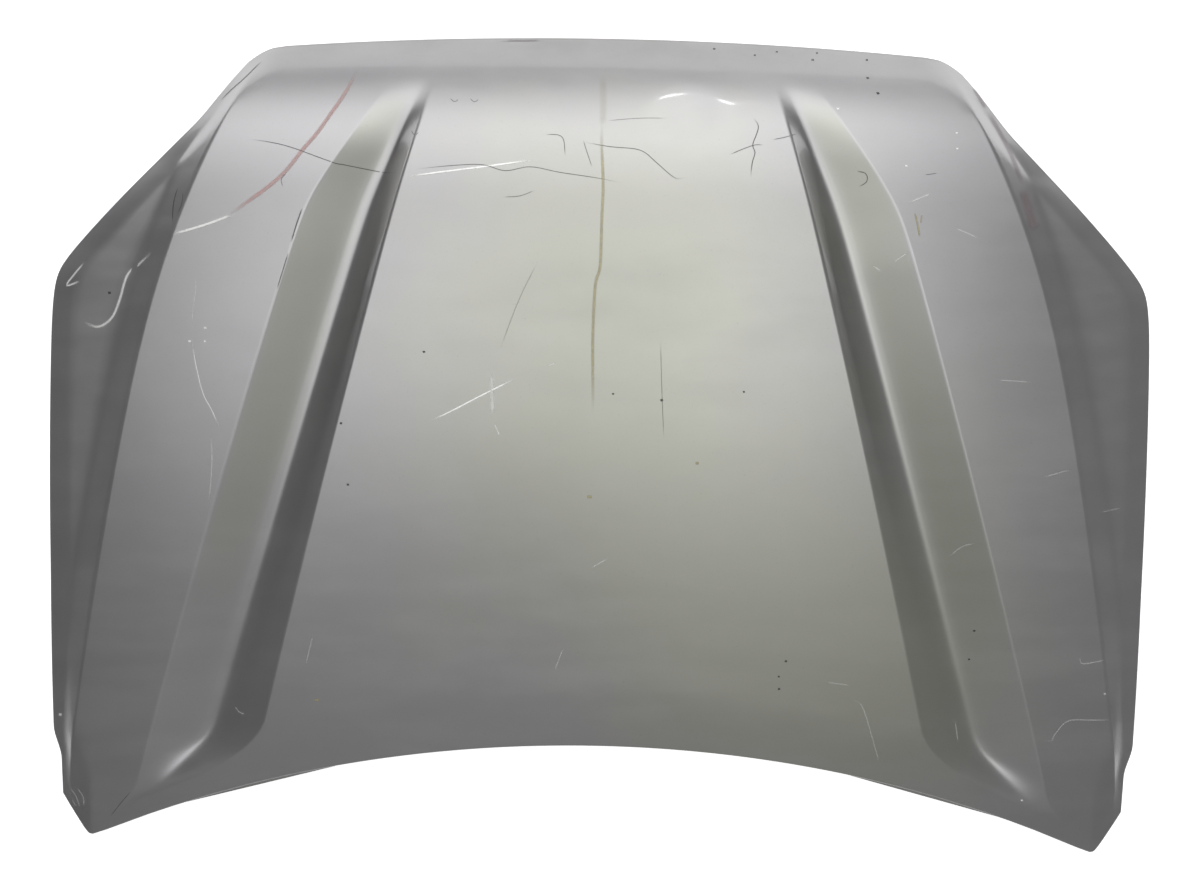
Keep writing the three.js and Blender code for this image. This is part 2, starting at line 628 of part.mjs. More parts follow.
function innerFrame() {
  const grid = panelGrid(FRAME_INSET);
  const bottom = (x, y) => frameHeight(x, y) - FRAME_SHEET * steepness(frameHeight, x, y);
  let frame = solidOf(sheetGeometry(grid, frameHeight, bottom, []));
  const cut = (geometry) => {
    frame = frame.subtract(solidOf(geometry));
  };
  for (const hole of HOLES) {
    for (const side of [-1, 1]) {
      cut(cutter(roundedPlate(hole.wide, hole.long, HOLE_ROUNDING), side * hole.x, hole.y));
    }
  }
  for (const side of [-1, 1]) {
    cut(cutter(disc(BOLT_HOLE), (side * STRIKER_BOLT_PITCH) / 2, STRIKER_Y));
    cut(cutter(disc(BUMP_HOLE), side * BUMP_X, BUMP_Y));
    for (const end of [-1, 1]) {
      cut(cutter(disc(BOLT_HOLE), side * HINGE_X + (end * HINGE_BOLT_PITCH) / 2, HINGE_Y));
    }
  }
  cut(cutter(disc(BUSH_BODY + 2 * BUSH_CLEARANCE, 20), BUSH_X, BUSH_Y));
  return geometryOf(frame);
}

// Pieces on a seat are made about its middle, with heights from the upper face of the frame.
const UNDER_FRAME = -(FRAME_SHEET + SEAT_GAP);
const ON_FRAME = SEAT_GAP;
const boltPlaces = (pitch) => [-pitch / 2, pitch / 2];

function strikerReinforcement() {
  const { wide, long, thick } = STRIKER_REINFORCEMENT;
  const plate = withHoles(roundedPlate(wide, long, 8), boltPlaces(STRIKER_BOLT_PITCH), BOLT_HOLE);
  return prism(plate, ON_FRAME, ON_FRAME + thick);
}
function strikerBase() {
  const { wide, long, thick } = STRIKER_PLATE;
  const plate = withHoles(roundedPlate(wide, long, 10), boltPlaces(STRIKER_BOLT_PITCH), BOLT_HOLE);
  return prism(plate, UNDER_FRAME - thick, UNDER_FRAME);
}
function strikerLoop() {
  const top = UNDER_FRAME - STRIKER_PLATE.thick - SEAT_GAP;
  const bottom = top - STRIKER_LOOP_DROP + STRIKER_WIRE / 2;
  const half = (STRIKER_LOOP_WIDTH - STRIKER_WIRE) / 2;
  const at = (x, z) => new THREE.Vector3(x, 0, z);
  const path = new THREE.CurvePath();
  const bend = STRIKER_LOOP_BEND;
  const bendsUp = [-half, half].map((x) => at(x, bottom + bend));
  const bendsIn = [-half + bend, half - bend].map((x) => at(x, bottom));
  path.add(new THREE.LineCurve3(at(-half, top), bendsUp[0]));
  path.add(new THREE.QuadraticBezierCurve3(bendsUp[0], at(-half, bottom), bendsIn[0]));
  path.add(new THREE.LineCurve3(bendsIn[0], bendsIn[1]));
  path.add(new THREE.QuadraticBezierCurve3(bendsIn[1], at(half, bottom), bendsUp[1]));
  path.add(new THREE.LineCurve3(bendsUp[1], at(half, top)));
  return new THREE.ExtrudeGeometry(disc(STRIKER_WIRE, 8), { extrudePath: path, steps: 20 });
}
function flangeBolt(underHead, end) {
  const underFlange = underHead - BOLT_FLANGE_THICK;
  const inFlange = underHead - BOLT_FLANGE_THICK / 2; // the head and the shank meet inside the flange
  const head = prism(hexagon(BOLT_HEAD_ACROSS), underFlange - BOLT_HEAD_HEIGHT, inFlange);
  const flange = prism(disc(BOLT_FLANGE), underFlange, underHead);
  const shank = prism(disc(BOLT), inFlange, end);
  return geometryOf(solidOf(head).add(solidOf(flange)).add(solidOf(shank)));
}
function weldNut(from) {
  const nut = withHoles(hexagon(NUT_ACROSS), [0], BOLT + 2 * THREAD_CLEARANCE);
  return prism(nut, from, from + NUT_HEIGHT);
}
function hingePlate() {
  const { wide, long, thick } = HINGE_PLATE;
  const plate = withHoles(roundedPlate(wide, long, 9), boltPlaces(HINGE_BOLT_PITCH), BOLT_HOLE);
  return prism(plate, ON_FRAME, ON_FRAME + thick);
}
function bumpStop() {
  const base = UNDER_FRAME;
  const outline = [
    [0, base - BUMP_HEIGHT],
    [BUMP_TIP / 2 - 2, base - BUMP_HEIGHT],
    [BUMP_TIP / 2, base - BUMP_HEIGHT + 2],
    [BUMP_BASE / 2 - 3, base - BUMP_BASE_THICK],
    [BUMP_BASE / 2, base - BUMP_BASE_THICK + 1],
    [BUMP_BASE / 2, base],
    [BUMP_STEM / 2, base],
    [BUMP_STEM / 2, ON_FRAME],
    [BUMP_BULB / 2, ON_FRAME],
    [BUMP_STEM / 2, ON_FRAME + BUMP_BULB_HEIGHT],
    [0, ON_FRAME + BUMP_BULB_HEIGHT],
  ];
  return turned(outline, 16);
}
function propRodBush() {
  const base = UNDER_FRAME;
  const outline = [
    [BUSH_BORE / 2, base - BUSH_FLANGE_THICK],
    [BUSH_FLANGE / 2 - 1, base - BUSH_FLANGE_THICK],
    [BUSH_FLANGE / 2, base - 1],
    [BUSH_FLANGE / 2, base],
    [BUSH_BODY / 2, base],
    [BUSH_BODY / 2, base + BUSH_HEIGHT],
    [BUSH_BORE / 2, base + BUSH_HEIGHT],
  ];
  return turned(outline, 16);
}
function masticDab() {
  const half = LAND_GAP / 2 - MASTIC_CLEARANCE;
  const outline = [
    [0, -half],
    [MASTIC_ACROSS / 2 - 1, -half],
    [MASTIC_ACROSS / 2, 0],
    [MASTIC_ACROSS / 2 - 1, half],
    [0, half],
  ];
  return turned(outline, 12);
}

const finish = (name, color, roughness, metalness) =>
  new THREE.MeshStandardMaterial({ name, color, roughness, metalness });
const finishes = {
  outerPaint: finish("outer_paint", 0xa6a7a2, 0.35, 0.7),
  innerPaint: finish("inner_paint", 0x8d8e8b, 0.55, 0.5),
  zincSteel: finish("zinc_steel", 0xb0ada0, 0.45, 0.9),
  rubber: finish("rubber", 0x1c1c1c, 0.85, 0),
  plastic: finish("plastic", 0x26272a, 0.5, 0),
  mastic: finish("mastic", 0x3a3936, 0.9, 0),
};

const bonnet = new THREE.Group();
const panel = new THREE.Group();
bonnet.add(panel);
function add(name, geometry, material, parent = panel) {
  const mesh = new THREE.Mesh(geometry, material);
  mesh.name = name;
  parent.add(mesh);
  return mesh;
}
// A group that stands on the panel at a place, with its own Z along the surface's normal there.
function placeOn(x, y, height, slopeX, slopeY) {
  const place = new THREE.Group();
  const normal = new THREE.Vector3(-slopeX, -slopeY, 1).normalize();
  place.position.set(x, y, height);
  place.quaternion.setFromUnitVectors(new THREE.Vector3(0, 0, 1), normal);
  panel.add(place);
  return place;
}
const onSeat = (seat) => placeOn(seat.x, seat.y, seat.height, seat.slopeX, seat.slopeY);

add("outer_skin", outerSkin(), finishes.outerPaint);
add("inner_frame", innerFrame(), finishes.innerPaint);

const striker = onSeat(strikerSeat);
const strikerNutFrom = ON_FRAME + STRIKER_REINFORCEMENT.thick + SEAT_GAP;
const strikerHeadAt = UNDER_FRAME - STRIKER_PLATE.thick - SEAT_GAP;
add("striker_reinforcement", strikerReinforcement(), finishes.zincSteel, striker);
add("striker_base", strikerBase(), finishes.zincSteel, striker);
add("striker_loop", strikerLoop(), finishes.zincSteel, striker);

const sides = [
  { side: -1, word: "left" },
  { side: 1, word: "right" },
];
for (const { side, word } of sides) {
  const boltX = (side * STRIKER_BOLT_PITCH) / 2;
  const bolt = flangeBolt(strikerHeadAt, strikerNutFrom + NUT_HEIGHT + BOLT_END);
  add("striker_bolt_" + word, bolt, finishes.zincSteel, striker).position.x = boltX;
  const nut = weldNut(strikerNutFrom);
  add("striker_nut_" + word, nut, finishes.zincSteel, striker).position.x = boltX;

  const hinge = onSeat(hingeSeats.find((seat) => Math.sign(seat.x) === side));
  const hingeNutFrom = ON_FRAME + HINGE_PLATE.thick + SEAT_GAP;
  add("hinge_plate_" + word, hingePlate(), finishes.zincSteel, hinge);
  boltPlaces(HINGE_BOLT_PITCH).forEach((x, k) => {
    const name = "hinge_nut_" + word + "_" + (k + 1);
    add(name, weldNut(hingeNutFrom), finishes.zincSteel, hinge).position.x = side * x;
  });

  const bump = onSeat(bumpSeats.find((seat) => Math.sign(seat.x) === side));
  add("bump_stop_" + word, bumpStop(), finishes.rubber, bump);

  MASTIC_PLACES.forEach(([x, y], k) => {
    const slopeX = slopeOf((t) => outerHeight(t, y), side * x);
    const slopeY = slopeOf((t) => outerHeight(side * x, t), y);
    const middle = (SKIN_SHEET + LAND_GAP / 2) * Math.hypot(1, slopeX, slopeY);
    const dab = placeOn(side * x, y, outerHeight(side * x, y) - middle, slopeX, slopeY);
    add("mastic_" + word + "_" + (k + 1), masticDab(), finishes.mastic, dab);
  });
}
add("prop_rod_bush", propRodBush(), finishes.plastic, onSeat(bushSeat));

// The origin is under the middle of the whole part.
const extent = new THREE.Box3().setFromObject(panel, true);
const middle = extent.getCenter(new THREE.Vector3());
panel.position.set(-middle.x, -middle.y, -extent.min.z);

export default bonnet;
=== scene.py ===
"""Looks of a used silver-grey steel car bonnet, lying dome up on a pale floor, seen from above.

The press tool's lines are given in millimetres from a datum across the middle of the panel, with the
nose towards +Y. to_metres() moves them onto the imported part.
"""
import math

import bpy
import numpy as np
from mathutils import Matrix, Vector


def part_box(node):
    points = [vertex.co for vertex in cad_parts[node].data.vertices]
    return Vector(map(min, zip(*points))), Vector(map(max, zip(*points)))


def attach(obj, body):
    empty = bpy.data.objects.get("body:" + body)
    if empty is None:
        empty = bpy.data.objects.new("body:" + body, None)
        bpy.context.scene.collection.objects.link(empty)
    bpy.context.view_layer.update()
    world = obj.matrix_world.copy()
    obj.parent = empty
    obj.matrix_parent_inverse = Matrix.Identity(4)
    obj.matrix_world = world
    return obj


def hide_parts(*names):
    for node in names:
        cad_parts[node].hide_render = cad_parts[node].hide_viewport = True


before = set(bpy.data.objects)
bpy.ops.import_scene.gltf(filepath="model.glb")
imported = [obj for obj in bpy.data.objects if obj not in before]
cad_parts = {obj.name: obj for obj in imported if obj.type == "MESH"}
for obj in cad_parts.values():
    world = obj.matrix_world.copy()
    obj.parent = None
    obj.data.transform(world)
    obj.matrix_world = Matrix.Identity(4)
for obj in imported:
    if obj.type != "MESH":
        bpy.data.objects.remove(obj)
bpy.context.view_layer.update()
bpy.ops.object.select_all(action="DESELECT")

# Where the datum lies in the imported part: its middle line is x = 0, its rim touches the skin's box.
NOSE_RIM = 568.2  # datum to the outermost line of the nose hem
FLOOR_LIFT = 2.828  # the datum plane's height over the floor
skin_low, skin_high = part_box("outer_skin")
DATUM_Y = skin_high[1] * 1000 - NOSE_RIM


def to_metres(x, y, z):
    return np.stack([x, y + DATUM_Y, z + FLOOR_LIFT], axis=-1) / 1000


# Sheets and hem
SKIN_SHEET = 0.8
FRAME_SHEET = 0.7
HEM_CLEARANCE = 1.0  # above and below the frame's rim inside the hem
HEM_DEPTH = 2 * SKIN_SHEET + FRAME_SHEET + 2 * HEM_CLEARANCE
HEM_WIDTH = 9.0
FOLD_BULGE = 1.2  # how far the fold stands outside the pressed face
FOLD_STEPS = 6

# Outline of the right half, from the datum
HALF_WIDTH = 748.8
NOSE_REACH = 567.0
NOSE_RADIUS = 6000
NOSE_CORNER = 455  # where the nose edge starts to round off towards the lamp
NOSE_CORNER_RADIUS = 40
NOSE_CORNER_END = 490  # where the lamp edge takes over
REAR_REACH = 402.0
REAR_RADIUS = 1667
TIP_X, TIP_Y = 736, -499  # outer end of the slanted rear tip
TIP_SLANT = 1.63
TIP_ROUNDING = 9
LAMP_START, LAMP_SLANT, LAMP_ROUNDING = 228, 0.94, 22
LAMP_BEND, LAMP_BEND_SLANT, LAMP_BEND_ROUNDING = 435, 0.3, 12
SIDE_JOG, SIDE_JOG_START, SIDE_JOG_END = 11, 400, 446  # the side edge steps in near the hinge

# Crown
CROWN_HEIGHT = 159
CROWN_PEAK = 195  # the highest row of the middle line
CROWN_LENGTH_RADIUS = 2941
CROWN_WIDTH_RADIUS = 4200
NOSE_DROP = 121.0
NOSE_DROP_START = 230
NOSE_DROP_POWER = 2.5

# Valleys beside the raised centre: half width on the datum, inwards for each millimetre forward
INNER_LINE_HALF, INNER_LINE_SPLAY, INNER_LINE_TURN = 353.5, 0.246, -375
OUTER_LINE_HALF, OUTER_LINE_SPLAY, OUTER_LINE_TURN = 488.9, 0.2917, -467
OUTER_LINE_BEND, OUTER_LINE_BEND_SLANT, OUTER_LINE_ROUNDING = 325, 0.33, 30
SWEEP_RADIUS = 50  # of both lines, behind their turns
VALLEY_LEAST_WIDTH = 18
LINE_ROUNDING = 6  # where one line gives way to another
VALLEY_BOTTOM = 0.38  # share of the way from the inner line to the outer crease
VALLEY_BOTTOM_DRIFT = 0.00023  # less of that share for each millimetre forward
CREASE_DROP = 1.0  # how far the outer crease lies under the crown
FACE_SLOPE = 0.38
VALLEY_FILLET = 7.0
VALLEY_FULL, VALLEY_TIP = 375, 502
VALLEY_FADE_START, VALLEY_FADE_END, VALLEY_FADE_SHARE = 380, 520, 0.3
VALLEY_END, VALLEY_END_START = 13, 76  # from the windscreen edge

# Shoulder step, flank, rolled rim and dent
SHOULDER_HALF, SHOULDER_SPLAY = 648.6, 0.175
SHOULDER_BEND, SHOULDER_BEND_SLANT, SHOULDER_ROUNDING = 200, 0.22, 150
FLANK_LEAST_WIDTH = 10
STEP_WIDTH = 35
STEP_SLOPE = 0.42
STEP_FOOT = 0.9  # share of the step's width at which its wall meets the flank
STEP_FILLET = 1.5
STEP_FADE_END, STEP_FADE_START = -520, -430
STEP_NOSE_FADE = 60
FLANK_SLOPE = 0.06
ROLL_WIDTH = 30.0
ROLL_DROP = 9
ROLL_POWER = 1.25
SIDE_ROLL_SHARE = 0.45  # the roll along the side, as a share of that along the lamp
LAMP_ROLL_START, LAMP_ROLL_FULL = 150, 260
REAR_STRIP, REAR_STRIP_DROP, REAR_STRIP_POWER = 79, 4, 1.4
DENT_X, DENT_Y = 112, 440
DENT_RADIUS = 62
DENT_DEPTH = 2.5

# Paint and light
PAINT_GREEN = (0.43, 0.435, 0.375)
PAINT_VIOLET = (0.405, 0.40, 0.41)
PAINT_HAZE = (0.55, 0.55, 0.53)
# Colour that the painted shade darkens the paint towards; it also stands for a little grime
PAINT_SHADE_GRIME = (0.22, 0.22, 0.215)
PAINT_DUST = (0.33, 0.34, 0.28)
PAINT_ROUGHNESS = 0.28
# How strong the painted shade gets at the nose edge
MOST_SHADE_GRIME = 2.2  # along the nose edge
MARK_LIFT = 0.25  # of the marks over the paint
SPECK_STRENGTH = 0.9
FLOOR_GLOW = 0.8
SKY_TOP = 2.0  # the brightness that the colour ramp's white stands for
# The sky, from behind the rear edge to ahead of the nose: (y of the direction, brightness)
SKY_LEVELS = [
    (-1, 0.16), (-0.6, 0.17), (-0.4, 0.19), (-0.28, 0.30), (-0.16, 0.66), (-0.05, 1.15),
    (0.05, 1.4), (0.25, 1.28), (0.48, 1.18), (0.7, 1.52), (0.85, 1.75), (1, 1.6),
]
SIDE_LEFT = 0.15
SIDE_RIGHT = 0.23
CAMERA_HEIGHT = 2.6  # over the datum plane, in metres
CAMERA_LENS = 55.8
CAMERA_SHIFT = (0.0021, -0.0007)
CAMERA_ROLL = 1.05


def soft_ramp(d, rounding):
    return (np.hypot(d, rounding) + d) / 2


def soft_least(a, b, rounding):
    return a - soft_ramp(a - b, rounding)


def soft_most(a, b, rounding):
    return a + soft_ramp(b - a, rounding)


def smooth(value, low, high):
    t = np.clip((value - low) / (high - low), 0, 1)
    return t * t * (3 - 2 * t)


def mix(a, b, share):
    return a + (b - a) * share


def slope_of(line, t):
    return line(t + 0.5) - line(t - 0.5)


def arc_sag(radius, x):
    return radius - np.sqrt(radius * radius - x * x)


# Outline of the right half
def nose_edge(x):
    past = np.maximum(0, x - NOSE_CORNER)
    return NOSE_REACH - arc_sag(NOSE_RADIUS, x) - past * past / (2 * NOSE_CORNER_RADIUS)


def rear_edge(x):
    arc = -REAR_REACH - arc_sag(REAR_RADIUS, x)
    slant = TIP_Y - (TIP_X - x) * TIP_SLANT
    return soft_most(arc, slant, TIP_ROUNDING)


def side_edge(y):
    lamp = LAMP_SLANT * soft_ramp(y - LAMP_START, LAMP_ROUNDING)
    bend = LAMP_BEND_SLANT * soft_ramp(y - LAMP_BEND, LAMP_BEND_ROUNDING)
    return HALF_WIDTH - lamp + bend - SIDE_JOG * smooth(-y, SIDE_JOG_START, SIDE_JOG_END)


# Lines from the nose to the rear
def sweep(y, turn):
    return np.maximum(0, turn - y) ** 2 / (2 * SWEEP_RADIUS)


def outer_crease(y):
    bend = OUTER_LINE_BEND_SLANT * soft_ramp(y - OUTER_LINE_BEND, OUTER_LINE_ROUNDING)
    return OUTER_LINE_HALF - OUTER_LINE_SPLAY * y - bend + sweep(y, OUTER_LINE_TURN)


def inner_line(y):
    free = INNER_LINE_HALF - INNER_LINE_SPLAY * y + sweep(y, INNER_LINE_TURN)
    return soft_least(free, outer_crease(y) - VALLEY_LEAST_WIDTH, LINE_ROUNDING)


def valley_bottom(y):
    return mix(inner_line(y), outer_crease(y), VALLEY_BOTTOM - VALLEY_BOTTOM_DRIFT * y)


def shoulder(y):
    bend = SHOULDER_BEND_SLANT * soft_ramp(y - SHOULDER_BEND, SHOULDER_ROUNDING)
    free = SHOULDER_HALF - SHOULDER_SPLAY * y - bend
    return soft_least(free, side_edge(y) - FLANK_LEAST_WIDTH, LINE_ROUNDING)


def step_foot(y):
    return np.minimum(shoulder(y) + STEP_WIDTH, (shoulder(y) + side_edge(y)) / 2)


def edge_distances(x, y):
    side = (side_edge(y) - x) / np.hypot(1, slope_of(side_edge, y))
    nose_x = np.minimum(x, NOSE_CORNER_END)
    nose = (nose_edge(nose_x) - y) / np.hypot(1, slope_of(nose_edge, nose_x))
    rear = (y - rear_edge(x)) / np.hypot(1, slope_of(rear_edge, x))
    return side, nose, rear


def valley_drop(x, y):
    """A plane wall down from the inner line and a plane face up to the outer crease, with a fillet."""
    inner, width = inner_line(y), outer_crease(y) - inner_line(y)
    out = np.clip(x - inner, 0, width)
    bottom = valley_bottom(y) - inner
    face_top = CREASE_DROP + FACE_SLOPE * width
    wall_slope = (face_top - FACE_SLOPE * bottom) / bottom
    drop = soft_least(wall_slope * out, face_top - FACE_SLOPE * out, VALLEY_FILLET)
    drop = drop - soft_least(0, face_top, VALLEY_FILLET) * (1 - out / width)
    fade = 1 - smooth(y, VALLEY_FULL, VALLEY_TIP)
    fade = fade * (1 - VALLEY_FADE_SHARE * smooth(-y, VALLEY_FADE_START, VALLEY_FADE_END))
    return drop * fade * smooth(edge_distances(x, y)[2], VALLEY_END, VALLEY_END_START)


def flank_drop(x, y):
    """The step is a plane wall down from the shoulder line, with a fillet into the flank."""
    out = np.maximum(0, x - shoulder(y))
    width = step_foot(y) - shoulder(y)
    wall = STEP_SLOPE * out
    foot = STEP_SLOPE * width * STEP_FOOT
    drop = soft_least(wall, foot + FLANK_SLOPE * out, STEP_FILLET) - soft_least(0, foot, STEP_FILLET)
    fade = smooth(edge_distances(x, y)[1], 0, STEP_NOSE_FADE) * smooth(y, STEP_FADE_END, STEP_FADE_START)
    return np.maximum(0, drop) * fade


def rim_drop(x, y):
    side, _, rear = edge_distances(x, y)
    lamp = mix(SIDE_ROLL_SHARE, 1, smooth(y, LAMP_ROLL_START, LAMP_ROLL_FULL))
    roll = ROLL_DROP * lamp * np.clip(1 - side / ROLL_WIDTH, 0, 1) ** ROLL_POWER
    return roll + REAR_STRIP_DROP * np.clip(1 - rear / REAR_STRIP, 0, 1) ** REAR_STRIP_POWER


def dent_drop(x, y):
    return DENT_DEPTH * (1 - smooth(np.hypot(x - DENT_X, y - DENT_Y) / DENT_RADIUS, 0, 1))


def crown_height(x, y):
    far = np.abs(x)
    ahead = np.maximum(0, y - NOSE_DROP_START) / (NOSE_REACH - NOSE_DROP_START)
    crown = CROWN_HEIGHT - (y - CROWN_PEAK) ** 2 / (2 * CROWN_LENGTH_RADIUS)
    crown = crown - far * far / (2 * CROWN_WIDTH_RADIUS)
    return crown - NOSE_DROP * ahead ** NOSE_DROP_POWER - flank_drop(far, y) - rim_drop(far, y)


def outer_height(x, y):
    return crown_height(x, y) - valley_drop(np.abs(x), y) - dent_drop(x, y)


def steepness(height, x, y):
    along_x = height(x + 0.5, y) - height(x - 0.5, y)
    along_y = height(x, y + 0.5) - height(x, y - 0.5)
    return np.sqrt(1 + along_x ** 2 + along_y ** 2)


# Plan grid of a pressed sheet: columns follow the pressed lines, rows follow the nose and rear edges.
def grid_columns(inset):
    def rim_line(distance):
        return lambda y: side_edge(y) - distance * np.hypot(1, slope_of(side_edge, y))

    def rim(distance, share):
        return lambda y: np.maximum(rim_line(distance)(y), mix(step_foot(y), rim_line(inset)(y), share))

    def beside(line, offset):
        return lambda y: line(y) + offset

    return [
        (lambda y: 0 * y, 30),
        (beside(inner_line, -14), 2),
        (beside(inner_line, -3), 1),
        (inner_line, 1),
        (beside(inner_line, 3), 8),
        (valley_bottom, 10),
        (beside(outer_crease, -2.5), 1),
        (outer_crease, 1),
        (beside(outer_crease, 2.5), 12),
        (beside(shoulder, -6), 2),
        (shoulder, 6),
        (step_foot, 6),
        (rim(ROLL_WIDTH, 0.4), 8),
        (rim_line(inset), 0),
    ]


def grid_rows(inset):
    nose = [inset, 3, 6, 9, 13, 17, 22, 28, 35, 42, 50, 58, 66, 74, 82]
    rear = [78, 70, 62, 54, 46, 39, 33, 28, 23, 18, 13, 9, 6, 3, inset]
    middle = np.linspace(0, 1, 142)[1:-1]
    rows = [lambda front, back, d=d: front - d for d in nose]
    rows += [lambda front, back, t=t: mix(front - nose[-1], back + rear[0], t) for t in middle]
    rows += [lambda front, back, d=d: back + d for d in rear]
    return rows


def plan_grid(inset):
    columns = grid_columns(inset)
    lines = []
    for (line, steps), following in zip(columns, columns[1:] + columns[-1:]):
        for k in range(max(1, steps)):
            lines.append((line, following[0], k / max(1, steps)))

    def across(y):
        return np.array([mix(a(v), b(v), share) for (a, b, share), v in zip(lines, y)])

    front = np.full(len(lines), NOSE_REACH)
    back = np.full(len(lines), -REAR_REACH)
    for _ in range(60):
        front = mix(front, nose_edge(across(front)), 0.5)
        back = mix(back, rear_edge(across(back)), 0.5)
    grid = []
    for place in grid_rows(inset):
        y = place(front, back)
        x = across(y)
        grid.append(np.stack([np.concatenate([-x[:0:-1], x]), np.concatenate([y[:0:-1], y])], axis=-1))
    return np.array(grid)


def with_fold(grid, height, section):
    """Heights over the plan grid, with the rim folded through the points of a section."""
    layers = len(section)
    rows, columns = grid.shape[:2]
    deep, wide = rows + 2 * layers, columns + 2 * layers
    j = np.clip(np.arange(deep) - layers, 0, rows - 1)
    i = np.clip(np.arange(wide) - layers, 0, columns - 1)
    plan = grid[j][:, i]
    out_j = np.abs(np.arange(deep) - layers - j)
    out_i = np.abs(np.arange(wide) - layers - i)
    ring = np.maximum(out_j[:, None], out_i[None, :])
    # Outward direction in plan at each border point, from its neighbours along the border.
    outward = np.zeros_like(grid)
    border = [(0, c) for c in range(columns - 1, 0, -1)] + [(r, 0) for r in range(rows - 1)]
    border += [(rows - 1, c) for c in range(columns - 1)]
    border += [(r, columns - 1) for r in range(rows - 1, 0, -1)]
    places = np.array([grid[b] for b in border])
    along = np.roll(places, -1, axis=0) - np.roll(places, 1, axis=0)
    along /= np.linalg.norm(along, axis=1)[:, None]
    for b, (u, v) in zip(border, along):
        outward[b] = (v, -u)
    normal = outward[j][:, i]
    offset = np.array([0.0] + [s[0] for s in section])[ring]
    depth = np.array([0.0] + [s[1] for s in section])[ring]
    inwards = np.minimum(0, offset)
    x, y = plan[..., 0], plan[..., 1]
    over_x, over_y = x + inwards * normal[..., 0], y + inwards * normal[..., 1]
    z = height(over_x, over_y) - depth * np.where(ring > 0, steepness(height, over_x, over_y), 0)
    return to_metres(x + offset * normal[..., 0], y + offset * normal[..., 1], z)


def press_sheet(name, points, thickness):
    """A primitive grid pressed to the points, its doubles merged and given the sheet's thickness."""
    deep, wide = points.shape[:2]
    bpy.ops.mesh.primitive_grid_add(x_subdivisions=wide - 1, y_subdivisions=deep - 1, size=1)
    sheet = bpy.context.object
    sheet.name = name
    mesh = sheet.data
    flat = np.empty(len(mesh.vertices) * 3)
    mesh.vertices.foreach_get("co", flat)
    flat = flat.reshape(-1, 3)
    order = np.lexsort((flat[:, 0].round(5), -flat[:, 1].round(5)))
    placed = np.empty_like(flat)
    placed[order] = points.reshape(-1, 3)
    mesh.vertices.foreach_set("co", placed.ravel())
    bpy.ops.object.mode_set(mode="EDIT")
    bpy.ops.mesh.select_all(action="SELECT")
    bpy.ops.mesh.remove_doubles(threshold=0.00002)
    bpy.ops.mesh.normals_make_consistent(inside=False)
    bpy.ops.object.mode_set(mode="OBJECT")
    wall = sheet.modifiers.new("sheet", "SOLIDIFY")
    wall.thickness = thickness / 1000
    wall.offset = -1
    bpy.ops.object.modifier_apply(modifier=wall.name)
    bpy.ops.object.shade_smooth_by_angle(angle=math.radians(50))
    sheet.select_set(False)
    return sheet


def outer_skin():
    r = HEM_DEPTH / 2
    fold = []
    for k in range(1, FOLD_STEPS):
        angle = math.pi * k / FOLD_STEPS
        fold.append((FOLD_BULGE * math.sin(angle), r - r * math.cos(angle)))
    section = fold + [(0, HEM_DEPTH), (-HEM_WIDTH / 2, HEM_DEPTH), (-HEM_WIDTH, HEM_DEPTH)]
    return press_sheet("pressed_skin", with_fold(plan_grid(0), outer_height, section), SKIN_SHEET)


# Soft tones of the paint and painted shade, kept as a colour attribute on the skin
def bump_at(x, y, place, reach):
    return np.exp(-(((x - place[0]) / reach[0]) ** 2) - ((y - place[1]) / reach[1]) ** 2)


def tone_and_shade_skin(skin):
    """Red: film of dust. Green: yellow-green against violet-grey. Blue: painted shade."""
    mesh = skin.data
    spots = np.empty(len(mesh.vertices) * 3)
    mesh.vertices.foreach_get("co", spots)
    spots = spots.reshape(-1, 3) * 1000
    x, y = spots[:, 0], spots[:, 1] - DATUM_Y
    far = np.abs(x)
    across = (far - valley_bottom(y)) / (outer_crease(y) - valley_bottom(y))
    dust = smooth(across, 0, 0.35) * (1 - smooth(across, 0.93, 1.0))
    dust = dust * smooth(y, -330, -60) * (1 - smooth(y, 430, 500))
    warm = bump_at(x, y, (20, 60), (330, 330)) + 0.8 * bump_at(x, y, (330, -300), (260, 200)) + 0.4 * dust
    # Blue is painted shade: a dark reflection cloud left of the middle, darker patches ahead of the middle
    # and on the right shoulder, and darker towards the rear and the nose edge.
    shade_grime = 0.8 * bump_at(x, y, (-135, -110), (190, 190)) + 0.6 * bump_at(x, y, (0, 190), (150, 100))
    shade_grime += 0.8 * bump_at(x, y, (560, 200), (120, 200)) + 0.5 * smooth(-y, 330, 470)
    shade_grime += MOST_SHADE_GRIME * smooth(y, 505, 562)
    tones = np.stack([dust, np.clip(warm, 0, 1), np.clip(shade_grime, 0, MOST_SHADE_GRIME), np.ones_like(x)], axis=-1)
    layer = mesh.color_attributes.new(name="paint_tones_and_shade", type="FLOAT_COLOR", domain="POINT")
    layer.data.foreach_set("color", tones.astype(np.float32).ravel())


